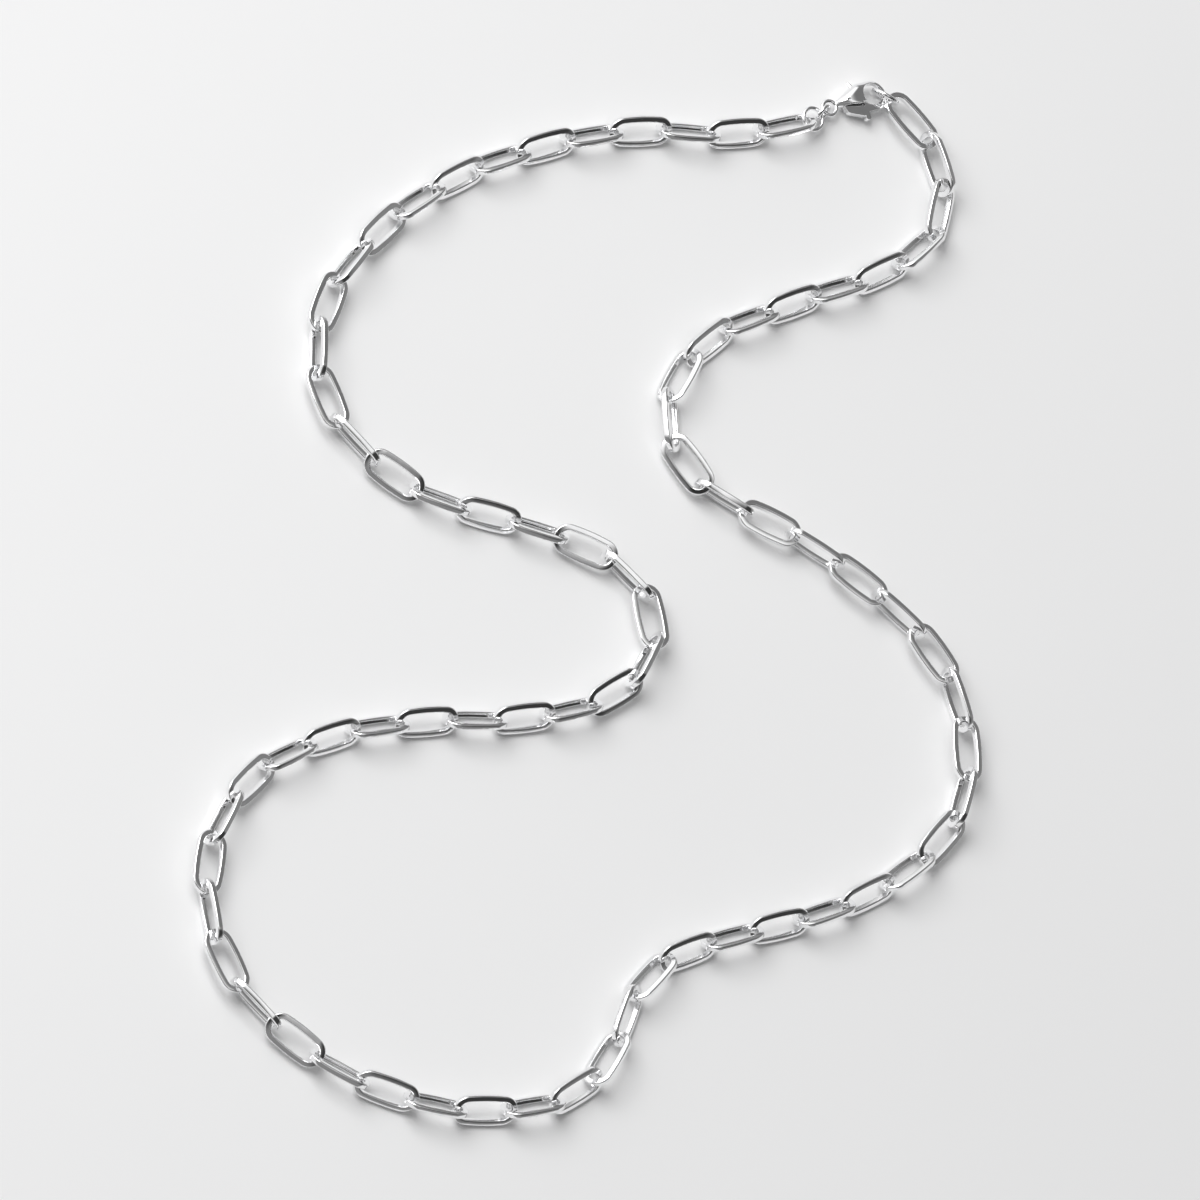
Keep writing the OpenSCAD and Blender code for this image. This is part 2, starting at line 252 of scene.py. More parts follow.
def loose_solids(node: bpy.types.Object) -> list[np.ndarray]:
    """Splits a CAD node into its loose solids.

    Args:
        node: The CAD node's object.

    Returns:
        The triangles of each solid, as arrays of corners, in metres.
    """
    mesh = node.data
    corners = np.empty(len(mesh.vertices) * 3, np.float32)
    mesh.vertices.foreach_get("co", corners)
    corners = corners.reshape(-1, 3).astype(float)
    mesh.calc_loop_triangles()
    triangles = np.empty(len(mesh.loop_triangles) * 3, np.int32)
    mesh.loop_triangles.foreach_get("vertices", triangles)
    cells = np.round(corners / MM * CORNERS_PER_MM).astype(np.int64)
    _, label = np.unique(cells, axis=0, return_inverse=True)
    joined = label.ravel()[triangles].reshape(-1, 3)
    group = np.arange(joined.max() + 1)
    while True:
        lowest = group[joined].min(axis=1)
        before = group.copy()
        np.minimum.at(group, joined.ravel(), np.repeat(lowest, 3))
        group = group[group]
        if np.array_equal(group, before):
            break
    owner = group[joined[:, 0]]
    points = corners[triangles].reshape(-1, 3, 3)
    return [points[owner == one] for one in np.unique(owner)]


def place_of(solid: np.ndarray) -> Place:
    """Finds how a wire loop lies, from the spread of its surface.

    Args:
        solid: The triangles of the solid.

    Returns:
        Its middle and axes. The face looks up, and across points at the upper side.
    """
    first, second, third = solid[:, 0], solid[:, 1], solid[:, 2]
    area = np.linalg.norm(np.cross(second - first, third - first), axis=1) / 2
    middle = (solid.mean(axis=1) * area[:, None]).sum(axis=0) / area.sum()
    moved = solid - middle
    total = moved.sum(axis=1)
    spread = np.einsum("n,nki,nkj->ij", area, moved, moved) + np.einsum("n,ni,nj->ij", area, total, total)
    _, axes = np.linalg.eigh(spread)
    face, across = axes[:, 0], axes[:, 1]
    if face[2] < 0:
        face = -face
    if across[2] < 0:
        across = -across
    return Place(middle, np.cross(across, face), across, face)


def in_order(places: list[Place], start: np.ndarray) -> list[Place]:
    """Sorts the links along the chain.

    Args:
        places: The links' places.
        start: A point beside the first link.

    Returns:
        The places, each one followed by its nearest neighbour.
    """
    left, here, found = list(places), start, []
    while left:
        nearest = min(range(len(left)), key=lambda i: float(np.linalg.norm(left[i].middle - here)))
        found.append(left.pop(nearest))
        here = found[-1].middle
    return found


# ---------------------------------------------------------------- wire loops


@dataclass(frozen=True)
class Loops:
    """Vertices, faces and normals of swept wire loops, in metres."""

    points: np.ndarray
    faces: np.ndarray
    normals: np.ndarray

    def object(self, name: str, finish: bpy.types.Material) -> bpy.types.Object:
        """Makes one mesh object of the loops.

        Args:
            name: The piece's name.
            finish: Its material.

        Returns:
            The object, in the scene.
        """
        mesh = bpy.data.meshes.new(name)
        mesh.from_pydata(self.points.tolist(), [], self.faces.tolist())
        mesh.polygons.foreach_set("use_smooth", [True] * len(mesh.polygons))
        mesh.update()
        mesh.normals_split_custom_set_from_vertices(self.normals.tolist())
        mesh.materials.append(finish)
        made = bpy.data.objects.new(name, mesh)
        bpy.context.scene.collection.objects.link(made)
        return made


def squared_section(half: float, bevel: float, crown_deg: float, steps: int, roll_deg: float) -> np.ndarray:
    """Outline of squared wire with softly rounded-off edges and slightly crowned flats.

    Args:
        half: Half of the wire's thickness, in millimetres.
        bevel: How far from its corners the edges are taken off, in millimetres.
        crown_deg: How far a flat's normals turn towards its sides.
        steps: Steps round each edge.
        roll_deg: How far the section is rolled outwards.

    Returns:
        Rows of outward, up, normal outward, normal up.
    """
    rows = []
    flat = half - bevel
    for quarter in range(4):
        c, s = math.cos(math.radians(90 * quarter)), math.sin(math.radians(90 * quarter))
        for step in range(steps + 1):
            share = step / steps
            angle = math.radians(90 * quarter + crown_deg + (90 - 2 * crown_deg) * share)
            x, y = half - bevel * share, flat + bevel * share
            rows.append((x * c - y * s, x * s + y * c, math.cos(angle), math.sin(angle)))
    return rolled(np.array(rows), roll_deg)


def round_section(radius: float, steps: int) -> np.ndarray:
    """Outline of round wire.

    Args:
        radius: Radius of the wire, in millimetres.
        steps: Points round it.

    Returns:
        Rows of outward, up, normal outward, normal up.
    """
    angles = np.arange(steps) * 2 * math.pi / steps
    normal = np.stack([np.cos(angles), np.sin(angles)], axis=1)
    return np.hstack([normal * radius, normal])


def rolled(section: np.ndarray, roll_deg: float) -> np.ndarray:
    """Turns a section so that its upper side leans outwards.

    Args:
        section: Rows of outward, up, normal outward, normal up.
        roll_deg: The angle.

    Returns:
        The turned rows.
    """
    c, s = math.cos(math.radians(roll_deg)), math.sin(math.radians(roll_deg))
    turn = np.array([[c, -s], [s, c]])
    return np.hstack([section[:, :2] @ turn, section[:, 2:] @ turn])


def sweep(place: Place, path: np.ndarray, section: np.ndarray) -> Loops:
    """Sweeps a section round a closed path.

    Args:
        place: Where the loop lies.
        path: Rows of x, y, outward x, outward y and the section's size, in millimetres.
        section: Rows of outward, up, normal outward, normal up, in millimetres.

    Returns:
        The loop.
    """
    outward = path[:, 2:3] * place.along + path[:, 3:4] * place.across
    line = place.middle + MM * (path[:, 0:1] * place.along + path[:, 1:2] * place.across)
    size = path[:, 4][:, None, None]
    offset = outward[:, None, :] * section[None, :, 0:1] + place.face * section[None, :, 1:2]
    normals = outward[:, None, :] * section[None, :, 2:3] + place.face * section[None, :, 3:4]
    points = line[:, None, :] + MM * size * offset
    rings, around = len(path), len(section)
    i, j = np.meshgrid(np.arange(rings), np.arange(around), indexing="ij")
    i_next, j_next = (i + 1) % rings, (j + 1) % around
    faces = np.stack(
        [i * around + j, i_next * around + j, i_next * around + j_next, i * around + j_next], axis=-1
    )
    faces = faces.reshape(-1, 4)
    flat_points, flat_normals = points.reshape(-1, 3), normals.reshape(-1, 3)
    corner = flat_points[faces[0]]
    looks = np.cross(corner[1] - corner[0], corner[2] - corner[0])
    if float(looks @ flat_normals[faces[0][0]]) < 0:
        faces = faces[:, ::-1]
    return Loops(flat_points, faces, flat_normals)


def together(loops: list[Loops]) -> Loops:
    """Puts several loops into one.

    Args:
        loops: The loops.

    Returns:
        One set of vertices, faces and normals.
    """
    starts = np.cumsum([0] + [len(one.points) for one in loops[:-1]])
    return Loops(
        np.vstack([one.points for one in loops]),
        np.vstack([one.faces + start for one, start in zip(loops, starts)]),
        np.vstack([one.normals for one in loops]),
    )


# ---------------------------------------------------------------- chain


@dataclass
class Chain:
    """The links of the chain: long ovals of squared, polished wire, each closed by a soldered seam.

    Its lengths are in millimetres. The nodes give the number of their first link.
    """

    finish: SilverFinish
    half_length: float = 4.625
    half_width: float = 2.0
    end_radius: float = 1.87
    wire_half: float = 0.48
    bevel: float = 0.2
    crown_deg: float = 4.0
    roll_deg: float = 7.0
    end_steps: int = 22
    edge_steps: int = 4
    seam_half: float = 0.045
    seam_size: float = 0.95
    side_stops: tuple[float, ...] = (-2.1, -1.5, -0.9, -0.4)
    nodes: dict[str, int] = field(default_factory=lambda: {"chain_eye_half": 1, "chain_hook_half": 39})
    upper_seams: tuple[int, ...] = (1, 9, 20, 33, 47, 58, 66, 74)

    def path(self, seam: Seam) -> np.ndarray:
        """Works out the link's middle line: two round ends and two sides that bow out slightly.

        Args:
            seam: The side that the seam is on.

        Returns:
            Rows of x, y, outward x, outward y and the section's size.
        """
        reach = self.half_length - self.end_radius
        bow = (reach**2 + self.half_width**2 - self.end_radius**2) / (2 * (self.half_width - self.end_radius))
        meet = math.atan2(bow - self.half_width, reach)
        rows = []
        for end in (1, -1):
            for step in range(self.end_steps + 1):
                angle = -meet + 2 * meet * step / self.end_steps
                x, y = math.cos(angle), math.sin(angle)
                at = (reach + self.end_radius * x, self.end_radius * y)
                rows.append((end * at[0], end * at[1], end * x, end * y, 1.0))
            stops = [*self.side_stops, -self.seam_half * 2, -self.seam_half]
            for stop in stops + [-stop for stop in reversed(stops)]:
                lean = math.asin(-stop / bow)
                x, y = math.sin(lean), math.cos(lean)
                at = (bow * x, bow * y - (bow - self.half_width))
                cut = end == seam.value and abs(stop) <= self.seam_half
                rows.append((end * at[0], end * at[1], end * x, end * y, self.seam_size if cut else 1.0))
        return np.array(rows)

    def halves(self) -> list[bpy.types.Object]:
        """Builds the two halves of the chain.

        Returns:
            One object for each CAD node of the chain.
        """
        section = squared_section(self.wire_half, self.bevel, self.crown_deg, self.edge_steps, self.roll_deg)
        paths = {seam: self.path(seam) for seam in Seam}
        material = self.finish.material()
        here = place_of(loose_solids(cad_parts["ring_by_chain"])[0]).middle
        made = []
        for node, first in self.nodes.items():
            places = in_order([place_of(one) for one in loose_solids(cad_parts[node])], here)
            here = places[-1].middle
            links = []
            for number, place in enumerate(places, first):
                seam = Seam.UPPER if number in self.upper_seams else Seam.LOWER
                link = sweep(place, paths[seam], section)
                link.points[:, 2] += max(0.0, -float(link.points[:, 2].min()))
                links.append(link)
            piece = together(links).object(f"links_{first}_on", material)
            dress(piece, Body.NECKLACE, node)
            LOG.info("%s: %d links, %d faces", piece.name, len(links), len(piece.data.polygons))
            made.append(piece)
        return made


def dress(piece: bpy.types.Object, body: Body, node: str) -> None:
    """Puts a piece on the body that it rides on, and hides the CAD node that it stands for.

    Args:
        piece: The piece.
        body: The CAD body that it moves with.
        node: The CAD node that it replaces.
    """
    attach(piece, body.value)
    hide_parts(node)


# ---------------------------------------------------------------- rings


@dataclass
class Ring:
    """A ring of round wire with the fine line where it was closed.

    Its lengths are in millimetres. The stops lie round the line, in halves of its width.
    """

    node: str
    finish: SilverFinish
    middle_radius: float
    wire_radius: float
    gap_deg: float = 200.0
    gap_half: float = 0.03
    gap_size: float = 0.95
    gap_stops: tuple[float, ...] = (-2.0, -0.6, 0.6, 2.0)
    gap_clear: float = 2.5
    steps: int = 96
    around: int = 24

    def build(self) -> bpy.types.Object:
        """Builds the ring where its CAD solid lies.

        Returns:
            The ring.
        """
        place = place_of(loose_solids(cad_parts[self.node])[0])
        angles = [360 * step / self.steps for step in range(self.steps)]
        cut = math.degrees(self.gap_half / self.middle_radius)
        extra = [self.gap_deg + cut * stop for stop in self.gap_stops]
        angles = sorted([a for a in angles if abs(a - self.gap_deg) > self.gap_clear * cut] + extra)
        rows = []
        for angle in angles:
            x, y = math.cos(math.radians(angle)), math.sin(math.radians(angle))
            size = self.gap_size if abs(angle - self.gap_deg) < cut else 1.0
            rows.append((self.middle_radius * x, self.middle_radius * y, x, y, size))
        loop = sweep(place, np.array(rows), round_section(self.wire_radius, self.around))
        piece = loop.object(f"wire_{self.node}", self.finish.material())
        dress(piece, Body.NECKLACE, self.node)
        LOG.info("%s: %d faces", piece.name, len(piece.data.polygons))
        return piece


# ---------------------------------------------------------------- forming tools, in millimetres


def hull_side(points: list[tuple[float, float]]) -> list[tuple[float, float]]:
    """Walks one side of a hull.

    Args:
        points: The points, in order from one end to the other.

    Returns:
        The corners of that side, without the last one.
    """
    kept: list[tuple[float, float]] = []
    for x, y in points:
        while len(kept) > 1:
            (ax, ay), (bx, by) = kept[-2], kept[-1]
            if (bx - ax) * (y - ay) - (by - ay) * (x - ax) > HULL_TURN:
                break
            kept.pop()
        kept.append((x, y))
    return kept[:-1]


def hull_of(circles: list[tuple[float, float, float]], steps: int = 96) -> np.ndarray:
    """Outline round several circles.

    Args:
        circles: Rows of x, y and radius.
        steps: Points on each circle.

    Returns:
        The corners, counter-clockwise.
    """
    turns = np.arange(steps) * 2 * math.pi / steps
    ways = np.stack([np.cos(turns), np.sin(turns)], axis=1)
    cloud = np.vstack([np.array(one[:2]) + one[2] * ways for one in circles])
    cloud = sorted(map(tuple, np.round(cloud, HULL_DIGITS)))
    return np.array(hull_side(cloud) + hull_side(cloud[::-1]))


def prism(name: str, outline: np.ndarray, half: float) -> bpy.types.Object:
    """Makes an upright prism about z = 0.

    Args:
        name: Its name.
        outline: Its corners, counter-clockwise.
        half: Half of its height.

    Returns:
        The object, in the scene.
    """
    count = len(outline)
    points = [(x, y, -half) for x, y in outline] + [(x, y, half) for x, y in outline]
    sides = [(i, (i + 1) % count, (i + 1) % count + count, i + count) for i in range(count)]
    faces = [tuple(range(count - 1, -1, -1)), tuple(range(count, 2 * count)), *sides]
    return solid(name, points, faces)


def solid(name: str, points: list[tuple[float, ...]], faces: list[tuple[int, ...]]) -> bpy.types.Object:
    """Makes a mesh object.

    Args:
        name: Its name.
        points: Its vertices.
        faces: Its faces.

    Returns:
        The object, in the scene.
    """
    mesh = bpy.data.meshes.new(name)
    mesh.from_pydata(points, [], faces)
    mesh.update()
    made = bpy.data.objects.new(name, mesh)
    bpy.context.scene.collection.objects.link(made)
    return made


def tube(name: str, line: tuple[tuple[float, float, float], ...], steps: int = 32) -> bpy.types.Object:
    """Makes a closed round bar that changes its radius along a line in the plane z = 0.

    Args:
        name: Its name.
        line: Rows of x and y of its middle line, and its radius there.
        steps: Points round it.

    Returns:
        The object, in the scene.
    """
    at = [Vector((x, y, 0.0)) for x, y, _ in line]
    points = []
    for i, (middle, (_, _, radius)) in enumerate(zip(at, line)):
        way = (at[min(i + 1, len(at) - 1)] - at[max(i - 1, 0)]).normalized()
        side, up = Vector((-way.y, way.x, 0.0)), Vector((0.0, 0.0, 1.0))
        for k in range(steps):
            turn = 2 * math.pi * k / steps
            points.append(tuple(middle + radius * (math.cos(turn) * side + math.sin(turn) * up)))
    last = len(at) - 1
    faces = [
        ((i + 1) * steps + k, (i + 1) * steps + (k + 1) % steps, i * steps + (k + 1) % steps, i * steps + k)
        for i in range(last)
        for k in range(steps)
    ]
    faces += [tuple(range(steps)), tuple(last * steps + k for k in reversed(range(steps)))]
    return solid(name, points, faces)


def settle(piece: bpy.types.Object) -> None:
    """Keeps what a piece's modifiers make as its mesh.

    Args:
        piece: The piece.
    """
    bpy.context.view_layer.update()
    held = piece.evaluated_get(bpy.context.evaluated_depsgraph_get())
    made = bpy.data.meshes.new_from_object(held)
    made.name = piece.name
    piece.modifiers.clear()
    piece.data = made


def cut_out(piece: bpy.types.Object, tool: bpy.types.Object) -> None:
    """Cuts a tool out of a piece, and throws the tool away.

    Args:
        piece: The piece.
        tool: The closed mesh that is cut out of it.
    """
    act = piece.modifiers.new("cut_out", "BOOLEAN")
    act.operation, act.object, act.solver = "DIFFERENCE", tool, "EXACT"
    settle(piece)
    bpy.data.objects.remove(tool)


def recast(piece: bpy.types.Object, grain: float, smoothing: int) -> None:
    """Turns a piece into an even, fine mesh with softened edges, as a casting has.

    Args:
        piece: The piece.
        grain: Size of the mesh's squares.
        smoothing: Rounds of smoothing.
    """
    act = piece.modifiers.new("recast", "REMESH")
    act.mode, act.voxel_size = "VOXEL", grain
    if smoothing:
        soft = piece.modifiers.new("soften", "SMOOTH")
        soft.factor, soft.iterations = 0.5, smoothing
    settle(piece)
    piece.data.polygons.foreach_set("use_smooth", [True] * len(piece.data.polygons))


def round_off(
    points: np.ndarray, depth: np.ndarray, inward: np.ndarray, reach: float, height: np.ndarray
) -> None:
    """Rounds a prism's long edge into an oval, by moving its points in place.

    Args:
        points: The points.
        depth: How deep each lies inside the edge.
        inward: The way into the prism at each.
        reach: How far the rounding reaches in from the edge.
        height: Half of the thickness at each point.
    """
    out = np.clip(1 - depth / reach, 0, None)
    far = np.maximum(np.sqrt(out**2 + (points[:, 2] / height) ** 2), 1.0)
    points[:, :2] += inward * (reach * out * (1 - 1 / far))[:, None]
    points[:, 2] /= far


# ---------------------------------------------------------------- clasp


@dataclass
class Clasp:
    """The lobster clasp: a cast body with its eye and horn, a sprung lever with a knob, and a pin.

    Its sizes are those of the CAD model, in millimetres, with the eye's middle at the origin, X towards
    the hook and Z up. Rounds are rows of x, y and radius.
    """

    cast: SilverFinish
    lever: SilverFinish
    pin: SilverFinish
    eye_at: tuple[float, float, float] = (46.03, 79.18, 1.5)
    turn_deg: float = 18.0
    neck: tuple[float, float, float] = (1.5, 0.3, 0.5)
    crown: tuple[float, float, float] = (5.4, 0.15, 2.3)
    hook: tuple[float, float, float] = (7.45, 0.15, 2.3)
    window: tuple[tuple[float, float, float], ...] = ((7.45, 0.3, 1.6), (7.1, 0.3, 1.55))
    cheek: tuple[tuple[float, float], ...] = ((0.0, -0.02), (5.3, -1.15))
    cheek_past: float = 0.05
    gate_y: float = -0.5
    gate_start: float = 5.0
    gate_steps: int = 48
    pin_at: tuple[float, float] = (2.9, 0.25)
    pin_radius: float = 0.3
    pin_fit: float = 0.01
    pin_dome: tuple[tuple[float, float], ...] = (
        (0.12, 0.003), (0.2, 0.012), (0.26, 0.035), (0.29, 0.07), (0.3, 0.11)
    )
    pin_steps: int = 40
    root_radius: float = 0.75
    lever_gap: float = 0.12
    slot_half: float = 0.67
    slot_end: tuple[float, float, float] = (5.4, -0.7, 1.5)
    slot_mouth: tuple[tuple[float, float, float], ...] = ((2.6, -5.0, 0.3), (6.0, -5.0, 0.3))
    belly_half: float = 1.5
    neck_half: float = 0.6
    nose_half: float = 0.4
    belly_share: float = 0.42
    belly_swell: float = 0.8
    nose_fall: float = 2.2
    form_start: float = 1.0
    form_run: float = 8.85
    eye_radius: float = 1.1
    eye_wire: float = 0.3
    eye_steps: int = 72
    wire_steps: int = 24
    horn: tuple[tuple[float, float, float], ...] = (
        (4.7, 1.5, 0.55), (4.57, 2.0, 0.46), (4.47, 2.35, 0.37), (4.37, 2.7, 0.27), (4.3, 2.95, 0.18),
        (4.27, 3.08, 0.08)
    )
    dome: float = 1.15
    cheek_round: float = 0.35
    cast_half: float = 1.0
    cut_half: float = 2.0
    past_clasp: float = 9.0
    grain: float = 0.06
    smoothing: int = 5
    lever_grain: float = 0.05
    lever_smoothing: int = 4
    sharp_deg: float = 40.0

    def to_place(self) -> Matrix:
        """Gives the way from the clasp's own frame, in millimetres, to the shared one, in metres."""
        move = Matrix.Translation(Vector(self.eye_at) * MM)
        return move @ Matrix.Rotation(math.radians(self.turn_deg), 4, "Z") @ Matrix.Scale(MM, 4)

    def half_thick(self, x: np.ndarray) -> np.ndarray:
        """Works out half of the body's thickness: a swell to the belly, then a slow fall to the nose.

        Args:
            x: Places along the clasp.

        Returns:
            Half of the thickness at each.
        """
        share = np.clip((x - self.form_start) / self.form_run, 0.0, 1.0)
        rise = np.minimum(share / self.belly_share, 1.0)
        drop = np.clip((share - self.belly_share) / (1 - self.belly_share), 0, 1)
        swell = np.sin(np.pi / 2 * rise) ** self.belly_swell
        fall = np.cos(np.pi / 2 * drop) ** self.nose_fall
        front = self.neck_half + (self.belly_half - self.neck_half) * swell
        back = self.nose_half + (self.belly_half - self.nose_half) * fall
        return np.where(share < self.belly_share, front, back)

    def body(self) -> bpy.types.Object:
        """Builds the cast body: a domed form with its opening, slot, eye and horn.

        Returns:
            The body, in the shared frame.
        """
        outline = hull_of([self.neck, self.crown, self.hook])
        piece = prism("clasp_casting", outline, self.cast_half)
        cut_out(piece, prism("opening", hull_of(list(self.window)), self.cut_half))
        start, end = self.cheek
        low = np.array([start, (start[0], -self.past_clasp), (end[0], -self.past_clasp), end])
        cut_out(piece, prism("underside", low, self.cut_half))
        cut_out(piece, prism("gate_cut", self.gate_outline(), self.cut_half))
        stretch = self.belly_half
        piece.data.transform(Matrix.Diagonal((1.0, 1.0, stretch, 1.0)))
        recast(piece, self.grain, 0)
        self._shape(piece, outline, stretch)
        for extra in (self._eye(), tube("horn", self.horn)):
            self._add(piece, extra)
        recast(piece, self.grain, self.smoothing)
        slot = hull_of([(*self.pin_at, self.root_radius + self.lever_gap), self.slot_end, *self.slot_mouth])
        cut_out(piece, prism("slot", slot, self.slot_half))
        hole = hull_of([(*self.pin_at, self.pin_radius + self.pin_fit)])
        cut_out(piece, prism("pin_hole", hole, 2 * self.belly_half))
        return self._finish(piece, self.cast, Body.NECKLACE, "clasp_body")

    def gate_outline(self) -> np.ndarray:
        """Works out the part of the rim that the lever closes.

        Returns:
            The corners of the sector round the pin, below the gate's line.
        """
        middle = np.array(self.window[0][:2])
        wall = self.window[0][2]
        end = (middle[0] + math.sqrt(wall**2 - (self.gate_y - middle[1]) ** 2), self.gate_y)
        reach = math.dist(end, self.pin_at)
        start = math.asin((self.gate_y - self.pin_at[1]) / reach)
        stop = -math.acos((self.gate_start - self.pin_at[0]) / reach)
        arc = [start + (stop - start) * k / self.gate_steps for k in range(self.gate_steps + 1)]
        points = [(self.pin_at[0] + reach * math.cos(a), self.pin_at[1] + reach * math.sin(a)) for a in arc]
        return np.array([(self.gate_start, self.gate_y), *points[::-1]])

    def _shape(self, piece: bpy.types.Object, outline: np.ndarray, stretch: float) -> None:
        """Gives the prism its swell, its domed outer side and its softer cheeks.

        Args:
            piece: The prism, as a fine mesh.
            outline: The corners of its outer outline.
            stretch: Half of the prism's height.
        """
        points = np.empty(len(piece.data.vertices) * 3, np.float32)
        piece.data.vertices.foreach_get("co", points)
        points = points.reshape(-1, 3).astype(float)
        height = self.half_thick(points[:, 0])
        points[:, 2] *= height / stretch
        edges = np.roll(outline, -1, axis=0) - outline
        normals = np.stack([-edges[:, 1], edges[:, 0]], axis=1)
        normals /= np.linalg.norm(normals, axis=1)[:, None]
        depths = points[:, :2] @ normals.T - (outline * normals).sum(axis=1)
        nearest = depths.argmin(axis=1)
        depth = np.maximum(depths[np.arange(len(points)), nearest], 0.0)
        round_off(points, depth, normals[nearest], self.dome, height)
        way = np.array(self.cheek[1]) - np.array(self.cheek[0])
        normal = np.array([-way[1], way[0]]) / np.linalg.norm(way)
        above = np.maximum((points[:, :2] - np.array(self.cheek[0])) @ normal, 0.0)
        above = np.where(points[:, 0] < self.cheek[1][0] + self.cheek_past, above, self.past_clasp)
        round_off(points, above, np.tile(normal, (len(points), 1)), self.cheek_round, height)
        piece.data.vertices.foreach_set("co", points.ravel())
        piece.data.update()

    def _eye(self) -> bpy.types.Object:
        """Makes the eye as a closed ring of round wire.

        Returns:
            The ring, in the clasp's own frame.
        """
        turns = np.arange(self.eye_steps) * 2 * math.pi / self.eye_steps
        ways = np.stack([np.cos(turns), np.sin(turns)], axis=1)
        path = np.hstack([self.eye_radius * ways, ways, np.ones((self.eye_steps, 1))])
        own = Place(np.zeros(3), *np.eye(3))
        loop = sweep(own, path, round_section(self.eye_wire, self.wire_steps))
        return solid("eye", (loop.points / MM).tolist(), loop.faces.tolist())

    @staticmethod
    def _add(piece: bpy.types.Object, extra: bpy.types.Object) -> None:
        """Puts another closed mesh into a piece, to be cast in one with it.

        Args:
            piece: The piece.
            extra: The mesh that is added, and then thrown away.
        """
        count = len(piece.data.vertices)
        points = [tuple(v.co) for v in piece.data.vertices] + [tuple(v.co) for v in extra.data.vertices]
        faces = [tuple(p.vertices) for p in piece.data.polygons]
        faces += [tuple(count + v for v in p.vertices) for p in extra.data.polygons]
        mesh = bpy.data.meshes.new(piece.name)
        mesh.from_pydata(points, [], faces)
        mesh.update()
        piece.data = mesh
        bpy.data.objects.remove(extra)

    def _finish(
        self, piece: bpy.types.Object, finish: SilverFinish, body: Body, node: str
    ) -> bpy.types.Object:
        """Puts a piece in its place and dresses it.

        Args:
            piece: The piece, in the clasp's own frame.
            finish: Its finish.
            body: The CAD body that it rides on.
            node: The CAD node that it replaces.

        Returns:
            The piece.
        """
        piece.data.transform(self.to_place())
        piece.data.materials.clear()
        piece.data.materials.append(finish.material())
        piece.data.polygons.foreach_set("use_smooth", [True] * len(piece.data.polygons))
        piece.data.set_sharp_from_angle(angle=math.radians(self.sharp_deg))
        dress(piece, body, node)
        LOG.info("%s: %d faces", piece.name, len(piece.data.polygons))
        return piece

    def lever_piece(self) -> bpy.types.Object:
        """Builds the lever from its CAD solid, with softened edges.

        Returns:
            The lever, in the shared frame.
        """
        piece = bpy.data.objects.new("clasp_trigger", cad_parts["clasp_lever"].data.copy())
        bpy.context.scene.collection.objects.link(piece)
        piece.data.transform(self.to_place().inverted())
        recast(piece, self.lever_grain, self.lever_smoothing)
        return self._finish(piece, self.lever, Body.LEVER, "clasp_lever")

    def pin_piece(self) -> bpy.types.Object:
        """Turns the hinge pin, with softly domed ends.

        Returns:
            The pin, in the shared frame.
        """
        low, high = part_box("clasp_pin")
        half = (high.z - low.z) / 2 / MM
        rows = [(r, half - drop) for r, drop in self.pin_dome]
        rows += [(r, -z) for r, z in reversed(rows)]
        steps, points, faces = self.pin_steps, [], []
        for r, z in rows:
            for k in range(steps):
                turn = 2 * math.pi * k / steps
                points.append((self.pin_at[0] + r * math.cos(turn), self.pin_at[1] + r * math.sin(turn), z))
        for i in range(len(rows) - 1):
            for k in range(steps):
                n = (k + 1) % steps
                faces.append((i * steps + k, (i + 1) * steps + k, (i + 1) * steps + n, i * steps + n))
        tips = len(points)
        points += [(*self.pin_at, half), (*self.pin_at, -half)]
        last = (len(rows) - 1) * steps
        faces += [(tips, k, (k + 1) % steps) for k in range(steps)]
        faces += [(tips + 1, last + (k + 1) % steps, last + k) for k in range(steps)]
        piece = solid("clasp_rivet", points, faces)
        return self._finish(piece, self.pin, Body.NECKLACE, "clasp_pin")


# ---------------------------------------------------------------- studio


@dataclass(frozen=True)
class Glow:
    """A soft round patch of the studio's surroundings, lighter or darker than the rest."""

    way: tuple[float, float, float]
    inner_deg: float
    outer_deg: float
    level: float


